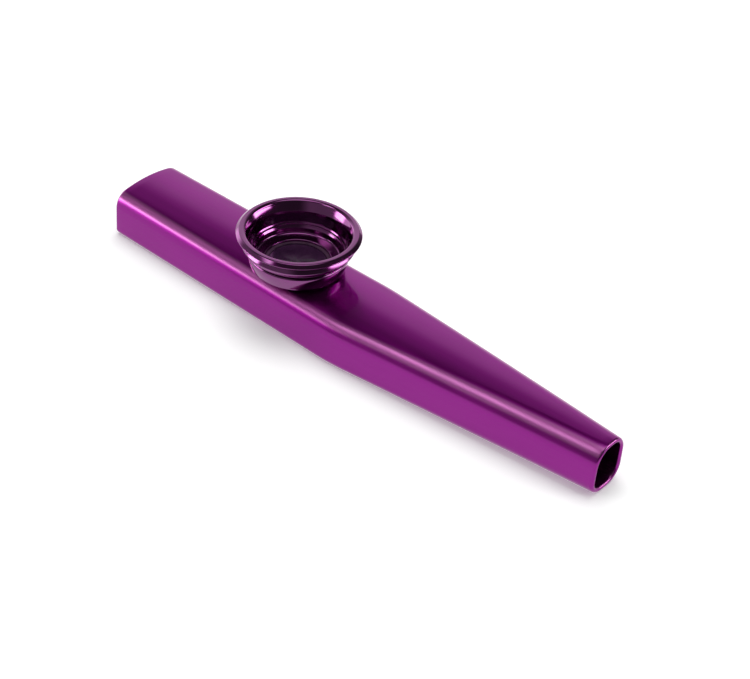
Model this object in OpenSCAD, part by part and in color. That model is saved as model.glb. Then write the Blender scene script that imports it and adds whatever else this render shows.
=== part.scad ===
// Kazoo with a one-piece drawn tube body and a screw-on turret cap.
// Millimetres, +Z up. The origin is on the floor under the middle of the body,
// the wide open end faces -X and the tapered blowing end faces +X.

/* [Body tube] */
// Length of the body, end to end
body_l = 120; // [95:1:150]
// Width at the bend, where the body is widest
body_w = 19.7; // [17.5:0.1:24]
// Width of the wide open end
wide_end_w = 18; // [16:0.1:20]
// Height of the straight part at the middle of its crowned top
body_h = 10.5; // [9.5:0.1:14]
// Thickness of the tube wall
wall = 1; // [0.5:0.05:1.1]
// Radius of the gentle crown across the top
crown_r = 32; // [20:1:80]
// Rounding of the upper edges of the straight part
top_round = 3.5; // [2:0.1:4.5]
// Rounding of the lower edges of the straight part
bottom_round = 1.4; // [1.1:0.1:3]
// How far each side leans in from floor to top
side_lean = 0.25; // [0:0.05:0.6]

/* [Tapered end] */
// Length of the taper, from the bend to the blowing end
taper_l = 59.1; // [40:0.1:70]
// Half length of the soft bend into the taper
bend_soft = 3.1; // [1:0.1:8]
// Width of the blowing end
end_w = 9.2; // [8.2:0.1:12]
// Height of the blowing end
end_h = 10.9; // [9.5:0.1:13]
// Rounding of the upper edges of the blowing end
end_top_round = 3.95; // [2:0.05:4.05]
// Rounding of the lower edges of the blowing end
end_bottom_round = 3.7; // [1.1:0.1:3.8]

/* [Turret collar] */
// Distance from the wide end to the axis of the turret
turret_from_end = 43.6; // [32:0.2:48]
// Depth of the flat seat cut into the crown under the collar
seat_depth = 0.2; // [0.1:0.05:0.6]
// How far the seat reaches past the boss of the collar
seat_reach = 0.15; // [0.05:0.05:0.4]
// How far the foot of the collar stays inside the widest line of the body
collar_inset = 0.15; // [0.05:0.05:0.5]
// How far the foot of the collar stands above its seat
foot_lift = 0.7; // [0.4:0.05:0.8]
// How far the boss under the foot stays back from the foot's edge
foot_back = 0.7; // [0.5:0.05:0.8]
// How far the head of the collar stands out past its foot
collar_flare = 0.1; // [0:0.05:0.3]
// How far the rounded side of the collar swells past its foot
collar_bulge = 0.8; // [0.4:0.05:1]
// How far below its head the side of the collar turns in
collar_turn = 0.2; // [0.1:0.05:0.6]
// Height of the collar above its seat
collar_h = 3.3; // [2.6:0.05:3.8]
// How far the threaded bore stays inside the foot of the collar
bore_inset = 0.55; // [0.4:0.05:0.7]
// How far the recess for the membrane stays inside the threaded bore
recess_inset = 0.65; // [0.6:0.05:0.8]
// Width of the ledge that the membrane lies on
ledge_w = 2.75; // [2:0.05:3]
// Thickness of that ledge
ledge_t = 0.35; // [0.3:0.05:0.6]
// Height of the shelf between recess and bore above the ledge
shelf_h = 0.75; // [0.7:0.05:0.9]
// Wall of the neck pressed into the hole in the body
neck_wall = 1.1; // [0.8:0.05:1.3]
// How far the neck reaches below the seat
neck_l = 1.1; // [0.9:0.05:1.5]

/* [Membrane] */
// Thickness of each card ring
ring_t = 0.2; // [0.1:0.02:0.3]
// How far the lower ring's inner edge stays back from the sound hole
lower_ring_back = 0.05; // [0.05:0.05:0.6]
// How far the upper ring's inner edge stays back from the sound hole
upper_ring_back = 0.15; // [0.05:0.05:0.6]
// Thickness of the film
film_t = 0.05; // [0.03:0.01:0.1]

/* [Cap] */
// How far the rolled lip stands out from the head of the step
lip_flare = 1.25; // [1:0.05:2]
// Radius of the roll of the lip
lip_roll = 0.8; // [0.6:0.05:1]
// Height of the middle of the lip above the underside of the cap
lip_h = 6.6; // [6.3:0.1:9]
// Width of the floor round the hole in the cap
cap_floor_w = 2.1; // [1.3:0.05:2.6]
// Thickness of the floor of the cap at the hole
cap_floor_t = 0.4; // [0.3:0.05:0.6]
// Wall of the threaded spigot
cap_wall = 0.4; // [0.3:0.05:0.6]
// How far the floor runs out from the hole before it turns up
dish_w = 1.1; // [0.6:0.1:1.7]
// How far the floor rises over that run
dish_rise = 0.25; // [0:0.05:0.4]
// Height of the turn from the floor into the wall
dish_turn = 1.1; // [0.8:0.1:1.6]
// How far the throat under the lip stands out from the spigot's inside
throat_out = 0.8; // [0.3:0.05:0.9]
// How far the throat lies below the middle of the lip
throat_drop = 1.5; // [1:0.1:2]
// Height of the turn from the throat into the slope up to the lip
throat_turn = 0.5; // [0.3:0.05:0.8]
// Height of the rounded step above the collar
step_h = 2.2; // [1.6:0.1:2.4]
// How far the foot of the step stands out from the collar's foot
step_out = 0.3; // [0.1:0.05:0.5]
// How far the step flares from its foot to its head
step_flare = 1.25; // [0.8:0.05:1.4]
// How far the step bulges past a straight cone
step_bulge = 0.5; // [0.1:0.05:0.6]

/* [Fits] */
// Radial clearance of the spigot in the collar's bore
thread_gap = 0.05; // [0.02:0.01:0.1]
// Radial clearance of the membrane stack in its recess
stack_gap = 0.1; // [0.05:0.05:0.3]
// Radial clearance of the neck in the hole in the body
neck_gap = 0.02; // [0.01:0.01:0.05]
// Gap left between the cap's shoulders and the collar when screwed home
shoulder_gap = 0.1; // [0.05:0.05:0.3]

/* [Hidden] */

anodised = [0.60, 0.24, 0.57];
anodised_deep = [0.38, 0.12, 0.36];
card = [0.23, 0.19, 0.24];
film = [0.12, 0.09, 0.12];

// Counts of steps along each curve
bottom_steps = 4;
corner_steps = 8;
crown_steps = 4;
lip_steps = 6;
roll_steps = 12;
bend_steps = 6;
taper_steps = 3;
bulge_steps = 8;
curve_steps = 8;
// Smallest rounding left inside a corner
least_round = 0.2;
// Overrun of every cut past the face it leaves
over = 1;
// Radius of the small rounded edges of turned pieces
edge_r = 0.12;
// Angles on the roll of the lip of its outer edge and of the cup's inside
lip_edge = 18;
lip_meet = 134;
// Share of the slope from lip to throat that stays straight
slope_share = 0.75;
$fn = 96;

// Places along the body and up the turret
end_x = body_l / 2;
bend_x = end_x - taper_l;
turret_x = turret_from_end - end_x;
seat_z = body_h - seat_depth;
ledge_z = seat_z + ledge_t;
film_z = ledge_z + ring_t;
upper_ring_z = film_z + film_t;
cap_z = upper_ring_z + ring_t;
collar_top_z = seat_z + collar_h;
foot_z = seat_z + foot_lift;
shelf_z = ledge_z + shelf_h;
collar_base_r = body_w / 2 - collar_inset;
collar_head_r = collar_base_r + collar_flare;
boss_r = collar_base_r - foot_back;
bore_r = collar_base_r - bore_inset;
recess_r = bore_r - recess_inset;
sound_hole_r = recess_r - ledge_w;
neck_r = sound_hole_r + neck_wall;
lower_ring_in_r = sound_hole_r + lower_ring_back;
upper_ring_in_r = sound_hole_r + upper_ring_back;
stack_r = recess_r - stack_gap;
spigot_r = bore_r - thread_gap;
spigot_in_r = spigot_r - cap_wall;
cap_hole_r = spigot_in_r - cap_floor_w;
throat_r = spigot_in_r + throat_out;
step_foot_r = collar_base_r + step_out;
step_head_r = step_foot_r + step_flare;
lip_r = step_head_r + lip_flare;

// Blend from the bend, 0, to the blowing end, 1
function taper(x) =
    let (s = x - bend_x)
    (s < -bend_soft ? 0 : s > bend_soft ? s : pow(s + bend_soft, 2) / (4 * bend_soft)) / taper_l;
// Blend from the bend, 0, to the wide end, 1
function spread(x) = max(0, (bend_x - x) / (bend_x + end_x));
function mix(a, b, t) = a + (b - a) * t;

// Right half of the section from the floor up to the crown, drawn inset by d
function half_section(w, h, rt, rb, d) =
    let (hw = w - d, top = h - d,
         rb_in = max(rb - d, least_round), rt_in = max(rt - d, least_round),
         cr = crown_r - d,
         phi = asin((hw - rt_in) / (cr - rt_in)),
         corner_z = top - cr + sqrt(pow(cr - rt_in, 2) - pow(hw - rt_in, 2)))
    concat(
        [for (i = [0:bottom_steps]) let (a = -90 + 90 * i / bottom_steps)
            [hw - rb_in + rb_in * cos(a), d + rb_in + rb_in * sin(a)]],
        [for (i = [0:corner_steps]) let (a = (90 - phi) * i / corner_steps)
            [hw - rt_in + rt_in * cos(a), corner_z + rt_in * sin(a)]],
        [for (i = [1:crown_steps]) let (a = 90 - phi + phi * i / crown_steps)
            [cr * cos(a), top - cr + cr * sin(a)]]);

// Whole section at x, as points in space, with its sides leaning in
function section(x, d) =
    let (t = taper(x), h = mix(body_h, end_h, t),
         w = mix(mix(body_w, end_w, t), wide_end_w, spread(x)) / 2,
         half = half_section(w, h, mix(top_round, end_top_round, t),
                             mix(bottom_round, end_bottom_round, t), d),
         n = len(half),
         ring = concat(half, [for (i = [n - 2:-1:0]) [-half[i][0], half[i][1]]]))
    [for (p = ring) [x, p[0] * (1 - side_lean / w * p[1] / h), p[1]]];

// Stations along the tube: straight part, soft bend, taper
lip_round = wall / 2;
stations = concat(
    [-end_x + lip_round],
    [for (i = [0:bend_steps]) bend_x - bend_soft + 2 * bend_soft * i / bend_steps],
    [for (i = [1:taper_steps]) mix(bend_x + bend_soft, end_x - lip_round, i / taper_steps)]);

// Rounded edge that joins the outer skin to the inner one, side +1 or -1 along X
function lip_rings(side) =
    [for (i = [1:lip_steps - 1]) let (a = 180 * i / lip_steps)
        [side * (end_x - lip_round + lip_round * sin(a)),
         side > 0 ? lip_round * (1 - cos(a)) : lip_round * (1 + cos(a))]];

// Each entry is a station and an inset: out along the skin, back along the inside
tube_rings = concat([for (x = stations) [x, 0]], lip_rings(1),
                    [for (i = [len(stations) - 1:-1:0]) [stations[i], wall]], lip_rings(-1));

module tube() {
    rings = [for (r = tube_rings) section(r[0], r[1])];
    n = len(rings);
    m = len(rings[0]);
    polyhedron(
        points = [for (r = rings) each r],
        faces = [for (i = [0:n - 1], j = [0:m - 1])
            let (a = i * m + j, b = i * m + (j + 1) % m,
                 c = ((i + 1) % n) * m + (j + 1) % m, e = ((i + 1) % n) * m + j)
            each [[a, b, c], [a, c, e]]]);
}

module body_shell() {
    color(anodised) difference() {
        tube();
        translate([turret_x, 0, body_h / 2])
            cylinder(r = neck_r + neck_gap, h = body_h);
        translate([turret_x, 0, seat_z])
            cylinder(r = boss_r + seat_reach, h = body_h);
    }
}

// Points of a side that bulges past the straight line from p to q
function bulged(p, q, bulge) =
    [for (i = [0:bulge_steps]) let (s = i / bulge_steps)
        [mix(p[0], q[0], s) + bulge * sin(180 * s), mix(p[1], q[1], s)]];

// Points of a curve from p to q that leaves and arrives pointing at c
function curve(p, c, q) =
    [for (i = [0:curve_steps]) let (s = i / curve_steps) mix(mix(p, c, s), mix(c, q, s), s)];

module turret_collar() {
    color(anodised_deep) translate([turret_x, 0, 0]) rotate_extrude()
        polygon(concat(
            [[sound_hole_r, seat_z - neck_l], [neck_r, seat_z - neck_l], [neck_r, seat_z],
             [boss_r, seat_z], [boss_r, foot_z]],
            curve([collar_base_r, foot_z],
                  [collar_base_r + collar_bulge, collar_top_z - collar_turn],
                  [collar_head_r, collar_top_z]),
            [[bore_r, collar_top_z], [bore_r, shelf_z], [recess_r, shelf_z],
             [recess_r, ledge_z], [sound_hole_r, ledge_z]]));
}

module flat_ring(z, in_r, t) {
    translate([turret_x, 0, z]) difference() {
        cylinder(r = stack_r, h = t);
        translate([0, 0, -over]) cylinder(r = in_r, h = t + 2 * over);
    }
}

module membrane_lower_ring() {
    color(card) flat_ring(ledge_z, lower_ring_in_r, ring_t);
}

module membrane_film() {
    color(film) translate([turret_x, 0, film_z]) cylinder(r = stack_r, h = film_t);
}

module membrane_upper_ring() {
    color(card) flat_ring(upper_ring_z, upper_ring_in_r, ring_t);
}

// Heights of the cap's outline, from its underside up
shoulder_z = collar_top_z + shoulder_gap;
step_top_z = shoulder_z + step_h;
lip_z = cap_z + lip_h;
lip_mid_r = lip_r - lip_roll;
throat_z = lip_z - throat_drop;

module cap() {
    floor_z = cap_z + cap_floor_t;
    dish_r = cap_hole_r + dish_w;
    dish_z = floor_z + dish_rise;
    roll = [for (i = [0:roll_steps]) let (a = mix(lip_edge, lip_meet, i / roll_steps))
        [lip_mid_r + lip_roll * cos(a), lip_z + lip_roll * sin(a)]];
    slope = [throat_r, throat_z + throat_turn];
    color(anodised_deep) translate([turret_x, 0, 0]) rotate_extrude()
        polygon(concat(
            [[cap_hole_r, cap_z], [stack_r, cap_z], [stack_r, shelf_z + shoulder_gap],
             [spigot_r, shelf_z + shoulder_gap], [spigot_r, shoulder_z],
             [step_foot_r - edge_r, shoulder_z]],
            bulged([step_foot_r, shoulder_z + edge_r], [step_head_r, step_top_z], step_bulge),
            [[step_head_r - edge_r, step_top_z + edge_r]],
            roll,
            curve(mix(roll[roll_steps], slope, slope_share), slope, [throat_r, throat_z]),
            [[spigot_in_r, shoulder_z + edge_r]],
            curve([spigot_in_r, dish_z + dish_turn], [spigot_in_r, dish_z + edge_r],
                  [dish_r, dish_z]),
            [[cap_hole_r + edge_r, floor_z], [cap_hole_r, floor_z - edge_r]]));
}

body_shell();
turret_collar();
membrane_lower_ring();
membrane_film();
membrane_upper_ring();
cap();
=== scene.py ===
"""Looks of the kazoo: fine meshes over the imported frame, materials, studio and camera."""

import math

import bmesh
import bpy
from mathutils import Matrix, Vector


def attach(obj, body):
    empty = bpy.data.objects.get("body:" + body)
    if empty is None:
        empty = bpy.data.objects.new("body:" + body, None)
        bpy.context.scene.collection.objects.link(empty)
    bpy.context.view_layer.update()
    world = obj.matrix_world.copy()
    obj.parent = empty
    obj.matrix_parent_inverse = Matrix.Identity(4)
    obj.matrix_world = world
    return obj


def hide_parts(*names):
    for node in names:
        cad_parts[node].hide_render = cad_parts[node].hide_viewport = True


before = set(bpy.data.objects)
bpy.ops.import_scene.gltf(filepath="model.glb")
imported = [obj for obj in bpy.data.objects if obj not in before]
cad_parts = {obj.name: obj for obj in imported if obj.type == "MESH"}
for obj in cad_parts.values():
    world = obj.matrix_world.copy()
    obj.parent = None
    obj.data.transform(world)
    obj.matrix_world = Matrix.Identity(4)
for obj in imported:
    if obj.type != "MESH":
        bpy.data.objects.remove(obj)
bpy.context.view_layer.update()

MM = 0.001

# Sizes in millimetres, the same as the solids
BODY_L = 120.0
BODY_W = 19.7
WIDE_END_W = 18.0
BODY_H = 10.5
WALL = 1.0
CROWN_R = 32.0
TOP_ROUND = 3.5
BOTTOM_ROUND = 1.4
SIDE_LEAN = 0.25
TAPER_L = 59.1
BEND_SOFT = 3.1
END_W = 9.2
END_H = 10.9
END_TOP_ROUND = 3.95
END_BOTTOM_ROUND = 3.7
LEAST_ROUND = 0.2

TURRET_FROM_END = 43.6
SEAT_DEPTH = 0.2
SEAT_REACH = 0.15
COLLAR_INSET = 0.15
FOOT_LIFT = 0.7
FOOT_BACK = 0.7
COLLAR_FLARE = 0.1
COLLAR_BULGE = 0.8
COLLAR_TURN = 0.2
COLLAR_H = 3.3
BORE_INSET = 0.55
RECESS_INSET = 0.65
LEDGE_W = 2.75
LEDGE_T = 0.35
SHELF_H = 0.75
NECK_WALL = 1.1
NECK_L = 1.1
NECK_GAP = 0.02

RING_T = 0.2
LOWER_RING_BACK = 0.05
UPPER_RING_BACK = 0.15
FILM_T = 0.05

LIP_FLARE = 1.25
LIP_H = 6.6
CAP_FLOOR_W = 2.1
CAP_FLOOR_T = 0.4
CAP_WALL = 0.4
DISH_RISE = 0.25
THROAT_OUT = 0.8
STEP_H = 2.2
STEP_OUT = 0.3
STEP_FLARE = 1.25

THREAD_GAP = 0.05
STACK_GAP = 0.1
SHOULDER_GAP = 0.1
EDGE_R = 0.12

# Sizes in millimetres of the finer forms that only the looks have
THREAD_PITCH = 0.5
THREAD_DEPTH = 0.16
THREAD_FADE = 0.25
THREAD_CLEAR = 0.2
HOLE_EDGE_R = 0.2
RING_EDGE_R = 0.08
SWELL_OUT = 0.1
SWELL_DROP = 0.2
SWELL_REACH = 0.45
CONE_L = 0.75
CREST_BACK = 1.28
CREST_RISE = 0.66
FLARE_BEND = 1.12
FLARE_DROP = 1.8
WAIST_TOP = 14.0
WAIST_BOTTOM = 12.92
DISH_TURN = 0.7
DISH_CORNER = 0.45
WRINKLE = 0.035

# Lean of the cone as shares (outwards, up), and share of the waist's slope that is rounded
CONE_LEAN = (-0.6, 0.8)
WAIST_ROUND = 0.1

# Curves of the lip: start, pull and end, each (outwards, up) in millimetres from its place
RIM_CURVE = ((-0.07, -0.1), (0, 0), (-0.12, 0.09))
FACE_CURVE = ((-0.6, -0.11), (-0.72, 0), (-0.92, 0))
CREST_CURVE = ((0, 0), (-0.5, 0), (-0.75, -0.46))

# Waves of the film's wrinkles: share, count round the disc, start and turn per millimetre
WRINKLE_WAVES = ((0.5, 5, 0.6, 0), (0.3, 9, 2.0, 1))

# Places and radii worked out from the sizes
END_X = BODY_L / 2
BEND_X = END_X - TAPER_L
TURRET_X = TURRET_FROM_END - END_X
SEAT_Z = BODY_H - SEAT_DEPTH
LEDGE_Z = SEAT_Z + LEDGE_T
FILM_Z = LEDGE_Z + RING_T
UPPER_RING_Z = FILM_Z + FILM_T
CAP_Z = UPPER_RING_Z + RING_T
COLLAR_TOP_Z = SEAT_Z + COLLAR_H
FOOT_Z = SEAT_Z + FOOT_LIFT
SHELF_Z = LEDGE_Z + SHELF_H
COLLAR_BASE_R = BODY_W / 2 - COLLAR_INSET
COLLAR_HEAD_R = COLLAR_BASE_R + COLLAR_FLARE
BOSS_R = COLLAR_BASE_R - FOOT_BACK
BORE_R = COLLAR_BASE_R - BORE_INSET
RECESS_R = BORE_R - RECESS_INSET
SOUND_HOLE_R = RECESS_R - LEDGE_W
NECK_R = SOUND_HOLE_R + NECK_WALL
STACK_R = RECESS_R - STACK_GAP
SPIGOT_R = BORE_R - THREAD_GAP
SPIGOT_IN_R = SPIGOT_R - CAP_WALL
CAP_HOLE_R = SPIGOT_IN_R - CAP_FLOOR_W
STEP_FOOT_R = COLLAR_BASE_R + STEP_OUT
STEP_HEAD_R = STEP_FOOT_R + STEP_FLARE
LIP_R = STEP_HEAD_R + LIP_FLARE
SHOULDER_Z = COLLAR_TOP_Z + SHOULDER_GAP
STEP_TOP_Z = SHOULDER_Z + STEP_H
UNDER_Z = SHELF_Z + SHOULDER_GAP
LIP_Z = CAP_Z + LIP_H
LIP_TOP_Z = LIP_Z + CREST_RISE
CREST_R = LIP_R - CREST_BACK
THROAT_R = SPIGOT_IN_R + THROAT_OUT
CAP_FLOOR_Z = CAP_Z + CAP_FLOOR_T
DISH_Z = CAP_FLOOR_Z + DISH_RISE

# Fineness of the meshes: steps along each curve, and steps in millimetres along straight parts
BOTTOM_STEPS = 8
CORNER_STEPS = 22
CROWN_STEPS = 16
LIP_STEPS = 12
COLLAR_STEPS = 20
SWELL_STEPS = 24
RIM_STEPS = 4
FACE_STEPS = 12
CREST_STEPS = 18
FLARE_STEPS = 20
WAIST_STEPS = 8
DISH_STEPS = 14
HOLE_EDGE_STEPS = 6
RING_EDGE_STEPS = 3
FILM_STEPS = 40
TURN_STEPS = 256
STATION_STEP = 1.5
THREAD_STEP = 0.04

# How near two radii in millimetres count as one, and the angle from which an edge stays sharp
SAME_R = 0.01
SHARP_ANGLE = math.radians(33)

# Colours of the materials
BODY_DARK = (0.275, 0.005, 0.242, 1.0)
BODY_LIGHT = (0.298, 0.007, 0.262, 1.0)
# Lighter colour of the painted highlight along the ridge of the body
BODY_PAINTED_HIGHLIGHT = (0.44, 0.105, 0.36, 1.0)
TURRET_DARK = (0.18, 0.008, 0.156, 1.0)
TURRET_LIGHT = (0.205, 0.011, 0.178, 1.0)
METAL_EDGE_TINT = (0.75, 0.35, 0.7, 1.0)
CARD_DARK = (0.032, 0.011, 0.029, 1.0)
CARD_LIGHT = (0.05, 0.019, 0.045, 1.0)
# Film colours, dark as painted shade for the tube's dark inside seen through the film
FILM_SHADE_DARK = (0.022, 0.006, 0.024, 1.0)
FILM_SHADE_LIGHT = (0.03, 0.009, 0.032, 1.0)
FLOOR_COLOUR = (0.9, 0.9, 0.9, 1.0)
WHITE = (1.0, 1.0, 1.0, 1.0)

# Ranges that the materials ramp between: of a noise, of a roughness, and of how far a normal
# points up where the painted highlight on the ridge starts and ends. Then the shares that make up
# the tint
NOISE_MIDDLE = (0.3, 0.7)
NOISE_CORE = (0.35, 0.65)
BODY_ROUGH = (0.28, 0.34)
TURRET_ROUGH = (0.11, 0.16)
CARD_ROUGH = (0.38, 0.55)
FILM_ROUGH = (0.14, 0.2)
HIGHLIGHT_START = (0.52, 0.66)
HIGHLIGHT_END = (0.88, 0.96)
LINES_IN_TINT = 0.45
CLOUD_IN_TINT = 0.55

# Sky: its level, the elevations in degrees between which it turns bright, and the level there
SKY_LEVEL = 0.05
ZENITH = (63, 76)
ZENITH_LEVEL = 1.2

# Soft boxes in degrees: azimuth, half width, its softness, lowest and highest elevation, their
# softness, then the slant and the level
SOFT_BOXES = [
    (-165, 105, 15, -20, 48, 6, 0, 0.2),
    (145, 40, 12, -20, 38, 5, 0, 0.68),
    (-160, 32, 6, -20, 18, 6, 0, 1.3),
    (-140.5, 11.5, 4.5, 10.5, 24, 3, 0.41, 6.2),
    (38, 20, 4, 17.5, 29.5, 3, -0.47, 7.5),
    (-126, 20, 6, 48, 59, 5, -0.15, 2.9),
]

# Lamp in degrees and its strength, and the floor's half side in metres and its levels
LAMP_AZIMUTH = 122
LAMP_ELEVATION = 75
LAMP_ANGLE = 45
LAMP_LEVEL = 1.6
FLOOR_HALF = 3.0
FLOOR_LIFT = 0.22
FLOOR_WHITE_SHARE = 0.75

# Camera: degrees, then millimetres, then the clipping distances in metres
CAMERA_AZIMUTH = -38.21
CAMERA_ELEVATION = 37.74
CAMERA_ROLL = 4.75
CAMERA_TARGET = (2.25, 3.02, 0)
CAMERA_DISTANCE = 347.98
CAMERA_SENSOR = 36
CAMERA_LENS = 84.44
CAMERA_CLIP = (0.01, 20)


# Mesh helpers
def make_object(name, verts, faces):
    """A mesh object in the scene, its points given in millimetres."""
    mesh = bpy.data.meshes.new(name)
    mesh.from_pydata([[c * MM for c in v] for v in verts], [], faces)
    mesh.validate()
    obj = bpy.data.objects.new(name, mesh)
    bpy.context.scene.collection.objects.link(obj)
    return obj


def shade(obj):
    """Smooth faces, with the sharp edges kept crisp."""
    bm = bmesh.new()
    bm.from_mesh(obj.data)
    for face in bm.faces:
        face.smooth = True
    for edge in bm.edges:
        edge.smooth = len(edge.link_faces) == 2 and edge.calc_face_angle(0) < SHARP_ANGLE
    bm.to_mesh(obj.data)
    bm.free()


def mix(a, b, t):
    return a + (b - a) * t


def lathe(name, outline, ripple=None):
    """Turns a closed outline of (r, z) round the turret's axis. ripple(r, z, turn) moves r."""
    verts, faces = [], []
    n = len(outline)
    for i in range(TURN_STEPS):
        turn = 2 * math.pi * i / TURN_STEPS
        for r, z in outline:
            rr = ripple(r, z, turn) if ripple else r
            verts.append((TURRET_X + rr * math.cos(turn), rr * math.sin(turn), z))
    for i in range(TURN_STEPS):
        a, b = i * n, (i + 1) % TURN_STEPS * n
        for j in range(n):
            k = (j + 1) % n
            faces.append((a + j, b + j, b + k, a + k))
    obj = make_object(name, verts, faces)
    shade(obj)
    return obj


def fine_line(p, q, step):
    """Points from p towards q, q left out."""
    count = max(1, round(math.dist(p, q) / step))
    return [(mix(p[0], q[0], i / count), mix(p[1], q[1], i / count)) for i in range(count)]


def curve(p, c, q, steps):
    """Points of a curve from p to q that leaves towards c and arrives from it."""
    points = []
    for i in range(steps + 1):
        s = i / steps
        points.append(tuple(mix(mix(a, b, s), mix(b, d, s), s) for a, b, d in zip(p, c, q)))
    return points


def curve_at(place, offsets, steps):
    """A curve whose three points are given as offsets from a place."""
    return curve(*[(place[0] + out, place[1] + up) for out, up in offsets], steps)


def arc(centre, radius, start, end, steps):
    """Points of an arc between two angles in degrees."""
    return [(centre[0] + radius * math.cos(math.radians(mix(start, end, i / steps))),
             centre[1] + radius * math.sin(math.radians(mix(start, end, i / steps))))
            for i in range(steps + 1)]


# Body tube
def taper(x):
    """How far the tube has tapered at x: 0 in the wide half, 1 at the blowing end."""
    s = x - BEND_X
    if s < -BEND_SOFT:
        return 0.0
    return (s if s > BEND_SOFT else (s + BEND_SOFT) ** 2 / (4 * BEND_SOFT)) / TAPER_L


def half_section(half_w, height, top_round, bottom_round, inset):
    """Right half of the section from the floor up to the crown, inset from the skin."""
    side, top = half_w - inset, height - inset
    low_r, high_r = max(bottom_round - inset, LEAST_ROUND), max(top_round - inset, LEAST_ROUND)
    crown_r = CROWN_R - inset
    crown_turn = math.asin((side - high_r) / (crown_r - high_r))
    corner_z = top - crown_r + math.sqrt((crown_r - high_r) ** 2 - (side - high_r) ** 2)
    points = []
    for i in range(BOTTOM_STEPS + 1):
        a = math.radians(-90 + 90 * i / BOTTOM_STEPS)
        points.append((side - low_r + low_r * math.cos(a), inset + low_r + low_r * math.sin(a)))
    for i in range(CORNER_STEPS + 1):
        a = (math.pi / 2 - crown_turn) * i / CORNER_STEPS
        points.append((side - high_r + high_r * math.cos(a), corner_z + high_r * math.sin(a)))
    for i in range(1, CROWN_STEPS + 1):
        a = math.pi / 2 - crown_turn + crown_turn * i / CROWN_STEPS
        points.append((crown_r * math.cos(a), top - crown_r + crown_r * math.sin(a)))
    return points


def section(x, inset):
    """The whole section at x, inset from the skin, its sides leaning in towards the top."""
    t = taper(x)
    spread = max(0.0, (BEND_X - x) / (BEND_X + END_X))
    half_w = mix(mix(BODY_W, END_W, t), WIDE_END_W, spread) / 2
    height = mix(BODY_H, END_H, t)
    half = half_section(half_w, height, mix(TOP_ROUND, END_TOP_ROUND, t),
                        mix(BOTTOM_ROUND, END_BOTTOM_ROUND, t), inset)
    ring = half + [(-y, z) for y, z in half[-2::-1]]
    return [(x, y * (1 - SIDE_LEAN / half_w * z / height), z) for y, z in ring]


def body_rings():
    """Station and inset of each ring: out along the skin, back along the inside."""
    lip = WALL / 2
    count = round((BODY_L - WALL) / STATION_STEP)
    stations = [mix(lip - END_X, END_X - lip, i / count) for i in range(count + 1)]
    out = [(x, 0) for x in stations]
    back = [(x, WALL) for x in reversed(stations)]
    for side, rings in ((1, out), (-1, back)):
        for i in range(1, LIP_STEPS):
            a = math.pi * i / LIP_STEPS
            rings.append((side * (END_X - lip + lip * math.sin(a)),
                          lip * (1 - side * math.cos(a))))
    return out + back


def cut(obj, cutters):
    """Takes the cutters out of obj and deletes them."""
    for cutter in cutters:
        modifier = obj.modifiers.new("cut", "BOOLEAN")
        modifier.operation = "DIFFERENCE"
        modifier.solver = "EXACT"
        modifier.object = cutter
    bpy.context.view_layer.update()
    graph = bpy.context.evaluated_depsgraph_get()
    mesh = bpy.data.meshes.new_from_object(obj.evaluated_get(graph))
    obj.modifiers.clear()
    obj.data = mesh
    for cutter in cutters:
        bpy.data.objects.remove(cutter)


def plug(name, radius, low, high):
    """A plain cylinder on the turret's axis, to cut with."""
    turns = [2 * math.pi * i / TURN_STEPS for i in range(TURN_STEPS)]
    verts = [(TURRET_X + radius * math.cos(a), radius * math.sin(a), z)
             for z in (low, high) for a in turns]
    n = TURN_STEPS
    faces = [(i, (i + 1) % n, n + (i + 1) % n, n + i) for i in range(n)]
    return make_object(name, verts, faces + [tuple(range(n - 1, -1, -1)), tuple(range(n, 2 * n))])


def make_body():
    rings = [section(x, inset) for x, inset in body_rings()]
    n, m = len(rings), len(rings[0])
    faces = [(i * m + j, i * m + (j + 1) % m, (i + 1) % n * m + (j + 1) % m, (i + 1) % n * m + j)
             for i in range(n) for j in range(m)]
    obj = make_object("body_tube", [p for ring in rings for p in ring], faces)
    cut(obj, [plug("hole", NECK_R + NECK_GAP, BODY_H / 2, 2 * BODY_H),
              plug("seat", BOSS_R + SEAT_REACH, SEAT_Z, 2 * BODY_H)])
    shade(obj)
    return obj


# Turret
def thread(radius, start_z, end_z, out):
    """Ripple of a screw thread on one radius between two heights, out +1 for grooves outwards."""
    def ripple(r, z, turn):
        if abs(r - radius) > SAME_R or not start_z < z < end_z:
            return r
        fade = min(1, (z - start_z) / THREAD_FADE, (end_z - z) / THREAD_FADE)
        wave = 0.5 - 0.5 * math.cos(2 * math.pi * (z / THREAD_PITCH) - turn)
        return r + out * THREAD_DEPTH * fade * wave
    return ripple


def make_collar():
    side = curve((COLLAR_BASE_R, FOOT_Z), (COLLAR_BASE_R + COLLAR_BULGE, COLLAR_TOP_Z - COLLAR_TURN),
                 (COLLAR_HEAD_R, COLLAR_TOP_Z), COLLAR_STEPS)
    bore = fine_line((BORE_R, COLLAR_TOP_Z - EDGE_R), (BORE_R, SHELF_Z), THREAD_STEP)
    outline = ([(SOUND_HOLE_R, SEAT_Z - NECK_L), (NECK_R, SEAT_Z - NECK_L), (NECK_R, SEAT_Z),
                (BOSS_R, SEAT_Z), (BOSS_R, FOOT_Z)]
               + side + [(BORE_R + EDGE_R, COLLAR_TOP_Z)] + bore
               + [(BORE_R, SHELF_Z), (RECESS_R, SHELF_Z), (RECESS_R, LEDGE_Z),
                  (SOUND_HOLE_R + EDGE_R, LEDGE_Z), (SOUND_HOLE_R, LEDGE_Z - EDGE_R)])
    return lathe("turret_collar_turned", outline,
                 thread(BORE_R, SHELF_Z + THREAD_CLEAR, COLLAR_TOP_Z - EDGE_R, 1))


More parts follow.
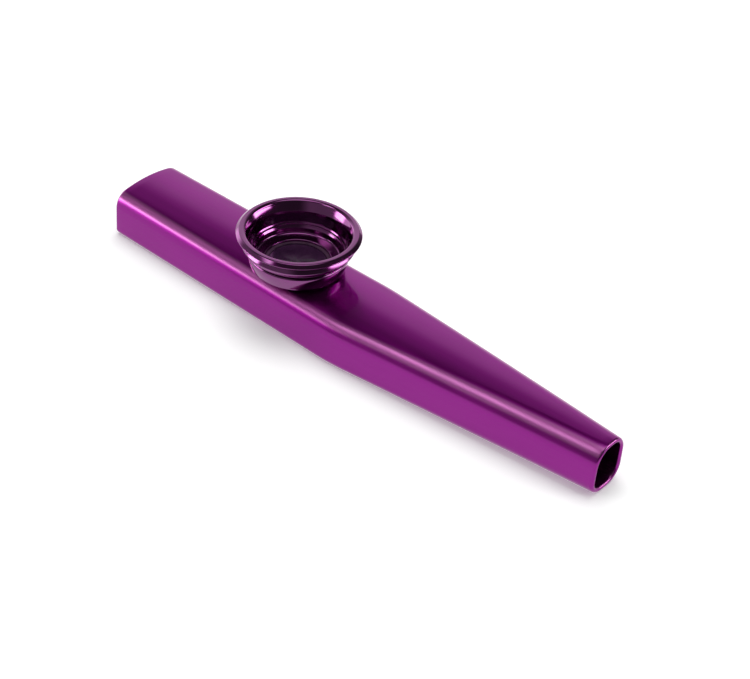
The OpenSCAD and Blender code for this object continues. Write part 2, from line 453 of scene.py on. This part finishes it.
def cap_step():
    """Outside of the step: swelling out from its foot, then leaning back in a short cone."""
    swell_r, swell_z = STEP_HEAD_R + SWELL_OUT, STEP_TOP_Z - SWELL_DROP
    lean_r, lean_z = CONE_LEAN
    pull = (swell_r - SWELL_REACH * lean_r, swell_z - SWELL_REACH * lean_z)
    swell = curve((STEP_FOOT_R, SHOULDER_Z + EDGE_R), pull, (swell_r, swell_z), SWELL_STEPS)
    return swell + [(swell_r + CONE_L * lean_r, swell_z + CONE_L * lean_z)]


def cap_lip():
    """From the lip's rim up its sloping face, over the crest and down into the throat."""
    rim = curve_at((LIP_R, LIP_Z), RIM_CURVE, RIM_STEPS)
    face = curve_at((LIP_R, LIP_TOP_Z), FACE_CURVE, FACE_STEPS)
    crest = curve_at((CREST_R, LIP_TOP_Z), CREST_CURVE, CREST_STEPS)
    flare = curve(crest[-1], (THROAT_R, LIP_Z - FLARE_BEND), (THROAT_R, LIP_Z - FLARE_DROP),
                  FLARE_STEPS)
    return rim + face + crest + flare[1:]


def cap_inside():
    """Down the slope of the waist and round the dish to the edge of the hole."""
    high, low = (THROAT_R, WAIST_TOP), (SPIGOT_IN_R, WAIST_BOTTOM)
    start, end = ([mix(a, b, share) for a, b in zip(high, low)]
                  for share in (WAIST_ROUND, 1 - WAIST_ROUND))
    waist = (curve((THROAT_R, WAIST_TOP + EDGE_R), high, start, WAIST_STEPS)
             + curve(end, low, (SPIGOT_IN_R, WAIST_BOTTOM - EDGE_R), WAIST_STEPS))
    dish = curve((SPIGOT_IN_R, DISH_Z + DISH_TURN), (SPIGOT_IN_R, DISH_Z + EDGE_R),
                 (SPIGOT_IN_R - DISH_CORNER, DISH_Z), DISH_STEPS)
    hole_edge = arc((CAP_HOLE_R + HOLE_EDGE_R, CAP_FLOOR_Z - HOLE_EDGE_R), HOLE_EDGE_R, 90, 180,
                    HOLE_EDGE_STEPS)
    return waist + dish + hole_edge


def make_cap():
    underside = [(CAP_HOLE_R, CAP_Z), (STACK_R, CAP_Z), (STACK_R, UNDER_Z),
                 (SPIGOT_R - EDGE_R, UNDER_Z)]
    spigot = fine_line((SPIGOT_R, UNDER_Z + EDGE_R), (SPIGOT_R, SHOULDER_Z), THREAD_STEP)
    shoulder = [(SPIGOT_R, SHOULDER_Z), (STEP_FOOT_R - EDGE_R, SHOULDER_Z)]
    outline = underside + spigot + shoulder + cap_step() + cap_lip() + cap_inside()
    return lathe("cap_spun", outline,
                 thread(SPIGOT_R, UNDER_Z + EDGE_R, SHOULDER_Z - EDGE_R, -1))


def make_ring(name, low, inner_r):
    """A flat ring whose section is a rectangle with rounded corners."""
    left, right = inner_r + RING_EDGE_R, STACK_R - RING_EDGE_R
    bottom, top = low + RING_EDGE_R, low + RING_T - RING_EDGE_R
    corners = ((left, bottom, 180), (right, bottom, 270), (right, top, 0), (left, top, 90))
    outline = [point for r, z, start in corners
               for point in arc((r, z), RING_EDGE_R, start, start + 90, RING_EDGE_STEPS)]
    return lathe(name, outline)


def make_film():
    """A thin disc drawn tight, with faint wrinkles between its middle and its clamped edge."""
    radii = [STACK_R * i / FILM_STEPS for i in range(FILM_STEPS + 1)]
    verts, faces = [], []
    for low in (FILM_Z, FILM_Z + FILM_T):
        verts.append((TURRET_X, 0, low))
        for r in radii[1:]:
            slack = math.sin(math.pi * r / SOUND_HOLE_R) if r < SOUND_HOLE_R else 0
            for i in range(TURN_STEPS):
                a = 2 * math.pi * i / TURN_STEPS
                wave = sum(share * math.sin(count * a + start + turn * r)
                           for share, count, start, turn in WRINKLE_WAVES)
                verts.append((TURRET_X + r * math.cos(a), r * math.sin(a),
                              low + WRINKLE * slack * wave))
    half = 1 + FILM_STEPS * TURN_STEPS
    for base, flip in ((0, True), (half, False)):
        for k in range(FILM_STEPS):
            for i in range(TURN_STEPS):
                j = (i + 1) % TURN_STEPS
                ring = base + 1 + k * TURN_STEPS
                if k == 0:
                    face = (base, ring + i, ring + j)
                else:
                    inner = ring - TURN_STEPS
                    face = (inner + i, ring + i, ring + j, inner + j)
                faces.append(face[::-1] if flip else face)
    low_rim, high_rim = half - TURN_STEPS, 2 * half - TURN_STEPS
    for i in range(TURN_STEPS):
        j = (i + 1) % TURN_STEPS
        faces.append((low_rim + i, low_rim + j, high_rim + j, high_rim + i))
    obj = make_object("film_disc", verts, faces)
    shade(obj)
    return obj


# Materials
class Nodes:
    """Short hand for building a node tree."""

    def __init__(self, tree):
        self.tree = tree
        tree.nodes.clear()

    def feed(self, socket, value):
        """Links an output into the socket, or sets a plain value on it."""
        if isinstance(value, bpy.types.NodeSocket):
            self.tree.links.new(value, socket)
        else:
            socket.default_value = value

    def add(self, kind, inputs=None, **settings):
        node = self.tree.nodes.new(kind)
        for key, value in settings.items():
            setattr(node, key, value)
        for key, value in (inputs or {}).items():
            self.feed(node.inputs[key], value)
        return node

    def math(self, operation, *values):
        node = self.add("ShaderNodeMath", dict(enumerate(values)), operation=operation)
        return node.outputs[0]

    def ramp(self, value, low, high, to_low, to_high):
        node = self.add("ShaderNodeMapRange",
                        {"Value": value, "From Min": low, "From Max": high,
                         "To Min": to_low, "To Max": to_high},
                        interpolation_type="SMOOTHSTEP")
        return node.outputs["Result"]

    def object_place(self):
        return self.add("ShaderNodeTexCoord").outputs["Object"]

    def noise(self, vector, scale, detail, stretch=(1, 1, 1), roughness=0.55):
        mapping = self.add("ShaderNodeMapping", {"Vector": vector, "Scale": stretch})
        node = self.add("ShaderNodeTexNoise",
                        {"Vector": mapping.outputs[0], "Scale": scale,
                         "Detail": detail, "Roughness": roughness})
        return node.outputs["Fac"]

    def blend(self, factor, a, b):
        node = self.add("ShaderNodeMix", {"Factor": factor}, data_type="RGBA")
        for name, value in (("A", a), ("B", b)):
            self.feed([s for s in node.inputs if s.name == name and s.type == "RGBA"][0], value)
        return [s for s in node.outputs if s.type == "RGBA"][0]


def new_material(name):
    material = bpy.data.materials.new(name)
    material.use_nodes = True
    return material, Nodes(material.node_tree)


def finish_material(nodes, shader, bumps):
    """Chains the bumps (height, strength, distance in mm) into the shader and the output."""
    before = {}
    for height, strength, distance in bumps:
        bump = nodes.add("ShaderNodeBump", {"Height": height, "Strength": strength,
                                            "Distance": distance * MM, **before})
        before = {"Normal": bump.outputs[0]}
    nodes.feed(shader.inputs["Normal"], before["Normal"])
    nodes.add("ShaderNodeOutputMaterial", {"Surface": shader.outputs[0]})


def turret_place(nodes, where):
    """Distance from the turret's axis, and height."""
    parts = nodes.add("ShaderNodeSeparateXYZ", {"Vector": where})
    x = nodes.math("SUBTRACT", parts.outputs["X"], TURRET_X * MM)
    y = parts.outputs["Y"]
    square = nodes.math("ADD", nodes.math("MULTIPLY", x, x), nodes.math("MULTIPLY", y, y))
    return nodes.math("SQRT", square), parts.outputs["Z"]


def painted_ridge_highlight(nodes):
    """1 where the skin turns from the top to a side: the band of the painted highlight on the ridge.
    """
    normal = nodes.add("ShaderNodeTexCoord").outputs["Normal"]
    up = nodes.add("ShaderNodeSeparateXYZ", {"Vector": normal}).outputs["Z"]
    return nodes.math("MULTIPLY", nodes.ramp(up, *HIGHLIGHT_START, 0, 1), nodes.ramp(up, *HIGHLIGHT_END, 1, 0))


def body_material():
    """Satin anodised skin with faint lines left by the drawing die, and a painted highlight along
    the ridge.
    """
    material, nodes = new_material("anodised_body_skin")
    where = nodes.object_place()
    lines = nodes.noise(where, scale=900, stretch=(0.03, 1, 1), detail=4, roughness=0.6)
    cloud = nodes.noise(where, scale=90, stretch=(0.6, 1, 1), detail=2)
    waves = nodes.noise(where, scale=55, stretch=(0.5, 1, 1), detail=1)
    tint = nodes.math("ADD", nodes.math("MULTIPLY", lines, LINES_IN_TINT),
                      nodes.math("MULTIPLY", cloud, CLOUD_IN_TINT))
    skin = nodes.blend(nodes.ramp(tint, *NOISE_CORE, 0, 1), BODY_DARK, BODY_LIGHT)
    # Painted highlight: the skin turns lighter along the ridge, where its normal points half up
    base = nodes.blend(painted_ridge_highlight(nodes), skin, BODY_PAINTED_HIGHLIGHT)
    rough = nodes.ramp(lines, *NOISE_MIDDLE, *BODY_ROUGH)
    shader = nodes.add("ShaderNodeBsdfPrincipled",
                       {"Base Color": base, "Metallic": 1.0, "Roughness": rough,
                        "Coat Weight": 0.8, "Coat Roughness": 0.05, "Coat IOR": 1.35,
                        "Specular Tint": METAL_EDGE_TINT})
    finish_material(nodes, shader, [(waves, 0.25, 0.12), (lines, 0.12, 0.01)])
    return material


def turret_material():
    """Bright spun metal under deep anodising, with fine turning rings."""
    material, nodes = new_material("anodised_turret_skin")
    where = nodes.object_place()
    radius, height = turret_place(nodes, where)
    ring_place = nodes.add("ShaderNodeCombineXYZ", {"X": radius, "Y": height, "Z": 0.0})
    rings = nodes.noise(ring_place.outputs[0], scale=2600, detail=3, roughness=0.6)
    cloud = nodes.noise(where, scale=260, detail=2)
    base = nodes.blend(nodes.ramp(cloud, *NOISE_MIDDLE, 0, 1), TURRET_DARK, TURRET_LIGHT)
    rough = nodes.ramp(rings, *NOISE_MIDDLE, *TURRET_ROUGH)
    shader = nodes.add("ShaderNodeBsdfPrincipled",
                       {"Base Color": base, "Metallic": 1.0, "Roughness": rough,
                        "Coat Weight": 1.0, "Coat Roughness": 0.03, "Coat IOR": 1.7,
                        "Specular Tint": METAL_EDGE_TINT})
    finish_material(nodes, shader, [(cloud, 0.15, 0.03), (rings, 0.1, 0.01)])
    return material


def card_material():
    """Pressed dark card with short fibres."""
    material, nodes = new_material("ring_card_fibre")
    where = nodes.object_place()
    fibre = nodes.noise(where, scale=2400, stretch=(1, 0.4, 1), detail=4, roughness=0.65)
    cloud = nodes.noise(where, scale=500, detail=2)
    base = nodes.blend(nodes.ramp(cloud, *NOISE_CORE, 0, 1), CARD_DARK, CARD_LIGHT)
    rough = nodes.ramp(fibre, *NOISE_MIDDLE, *CARD_ROUGH)
    shader = nodes.add("ShaderNodeBsdfPrincipled",
                       {"Base Color": base, "Roughness": rough, "IOR": 1.45})
    finish_material(nodes, shader, [(fibre, 0.4, 0.02)])
    return material


def film_material():
    """Thin glossy film, coloured dark as painted shade for the dark inside of the tube under it; a
    little light also passes through.
    """
    material, nodes = new_material("membrane_painted_shade")
    where = nodes.object_place()
    cloud = nodes.noise(where, scale=420, detail=3)
    fine = nodes.noise(where, scale=2200, detail=2)
    # Painted shade: the film's colour is the dark inside of the tube under it
    base = nodes.blend(nodes.ramp(cloud, *NOISE_MIDDLE, 0, 1), FILM_SHADE_DARK, FILM_SHADE_LIGHT)
    rough = nodes.ramp(fine, *NOISE_MIDDLE, *FILM_ROUGH)
    shader = nodes.add("ShaderNodeBsdfPrincipled",
                       {"Base Color": base, "Roughness": rough, "IOR": 1.5,
                        "Transmission Weight": 0.05})
    finish_material(nodes, shader, [(cloud, 0.2, 0.03)])
    return material


# Studio
def world_light():
    """Dim sky with a bright zenith and soft boxes. The camera itself sees it white."""
    world = bpy.data.worlds.new("studio")
    bpy.context.scene.world = world
    world.use_nodes = True
    nodes = Nodes(world.node_tree)
    where = nodes.add("ShaderNodeTexCoord").outputs["Generated"]
    parts = nodes.add("ShaderNodeSeparateXYZ", {"Vector": where})
    x, y, z = (parts.outputs[k] for k in "XYZ")
    elevation = nodes.math("MULTIPLY", nodes.math("ARCSINE", z), math.degrees(1))
    azimuth = nodes.math("MULTIPLY", nodes.math("ARCTAN2", y, x), math.degrees(1))

    def window(value, low, high, soft):
        """1 between low and high, fading to 0 over their softness."""
        rise = nodes.ramp(value, low - soft, low + soft, 0, 1)
        fall = nodes.ramp(value, high - soft, high + soft, 1, 0)
        return nodes.math("MULTIPLY", rise, fall)

    total = nodes.ramp(elevation, *ZENITH, SKY_LEVEL, ZENITH_LEVEL)
    for centre, half, az_soft, low, high, el_soft, slant, level in SOFT_BOXES:
        aside = nodes.math("WRAP", nodes.math("SUBTRACT", azimuth, centre), -180, 180)
        above = nodes.math("SUBTRACT", elevation, nodes.math("MULTIPLY", aside, slant))
        box = nodes.math("MULTIPLY", window(aside, -half, half, az_soft),
                         window(above, low, high, el_soft))
        total = nodes.math("ADD", nodes.math("MULTIPLY", box, level), total)
    seen = nodes.add("ShaderNodeLightPath").outputs["Is Camera Ray"]
    lit = nodes.math("MULTIPLY", total, nodes.math("SUBTRACT", 1.0, seen))
    background = nodes.add("ShaderNodeBackground",
                           {"Color": WHITE, "Strength": nodes.math("ADD", lit, seen)})
    nodes.add("ShaderNodeOutputWorld", {"Surface": background.outputs[0]})


def make_floor():
    """Pale floor that keeps the object's shadow, lifted to white for the camera."""
    half = FLOOR_HALF
    mesh = bpy.data.meshes.new("floor")
    mesh.from_pydata([(-half, -half, 0), (half, -half, 0), (half, half, 0), (-half, half, 0)],
                     [], [(0, 1, 2, 3)])
    obj = bpy.data.objects.new("floor", mesh)
    bpy.context.scene.collection.objects.link(obj)
    material, nodes = new_material("pale_floor")
    path = nodes.add("ShaderNodeLightPath")
    paper = nodes.add("ShaderNodeBsdfDiffuse", {"Color": FLOOR_COLOUR})
    lift_level = nodes.math("MULTIPLY", path.outputs["Is Camera Ray"], FLOOR_LIFT)
    lift = nodes.add("ShaderNodeEmission", {"Color": WHITE, "Strength": lift_level})
    lifted = nodes.add("ShaderNodeAddShader", {0: paper.outputs[0], 1: lift.outputs[0]})
    plain = nodes.add("ShaderNodeEmission", {"Color": WHITE, "Strength": 1.0})
    share = nodes.math("MULTIPLY", path.outputs["Is Glossy Ray"], FLOOR_WHITE_SHARE)
    both = nodes.add("ShaderNodeMixShader",
                     {0: share, 1: lifted.outputs[0], 2: plain.outputs[0]})
    nodes.add("ShaderNodeOutputMaterial", {"Surface": both.outputs[0]})
    obj.data.materials.append(material)


def make_lamp():
    """Soft light from high behind the object, left out of the glossy reflections."""
    azimuth, elevation = math.radians(LAMP_AZIMUTH), math.radians(LAMP_ELEVATION)
    towards = Vector((math.cos(elevation) * math.cos(azimuth),
                      math.cos(elevation) * math.sin(azimuth), math.sin(elevation)))
    data = bpy.data.lights.new("high_lamp", "SUN")
    data.angle = math.radians(LAMP_ANGLE)
    data.energy = LAMP_LEVEL
    obj = bpy.data.objects.new("high_lamp", data)
    obj.rotation_euler = towards.to_track_quat("Z", "Y").to_euler()
    obj.visible_glossy = False
    bpy.context.scene.collection.objects.link(obj)


def make_camera():
    """The camera of the photo, fitted to the outline of the object in it."""
    azimuth, elevation, roll = (math.radians(a) for a in
                                (CAMERA_AZIMUTH, CAMERA_ELEVATION, CAMERA_ROLL))
    forward = Vector((math.sin(azimuth) * math.cos(elevation),
                      math.cos(azimuth) * math.cos(elevation), -math.sin(elevation)))
    right = forward.cross(Vector((0, 0, 1))).normalized()
    up = right.cross(forward)
    across = math.cos(roll) * right + math.sin(roll) * up
    upward = math.cos(roll) * up - math.sin(roll) * right
    data = bpy.data.cameras.new("camera")
    data.sensor_width = CAMERA_SENSOR
    data.lens = CAMERA_LENS
    data.clip_start, data.clip_end = CAMERA_CLIP
    obj = bpy.data.objects.new("camera", data)
    turn = Matrix((across, upward, -forward)).transposed()
    place = (Vector(CAMERA_TARGET) - forward * CAMERA_DISTANCE) * MM
    obj.matrix_world = Matrix.Translation(place) @ turn.to_4x4()
    bpy.context.scene.collection.objects.link(obj)
    bpy.context.scene.camera = obj


# Put together
def put(obj, material, body, node):
    """Gives a piece its material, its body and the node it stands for."""
    obj.data.materials.clear()
    obj.data.materials.append(material)
    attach(obj, body)
    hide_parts(node)


turret_skin = turret_material()
card = card_material()
put(make_body(), body_material(), "root", "body_shell")
put(make_collar(), turret_skin, "root", "turret_collar")
put(make_ring("lower_ring_card", LEDGE_Z, SOUND_HOLE_R + LOWER_RING_BACK), card, "root",
    "membrane_lower_ring")
put(make_film(), film_material(), "root", "membrane_film")
put(make_ring("upper_ring_card", UPPER_RING_Z, SOUND_HOLE_R + UPPER_RING_BACK), card,
    "clamp_ring", "membrane_upper_ring")
put(make_cap(), turret_skin, "screw_cap", "cap")

world_light()
make_floor()
make_lamp()
make_camera()
bpy.context.scene.view_settings.view_transform = "Standard"
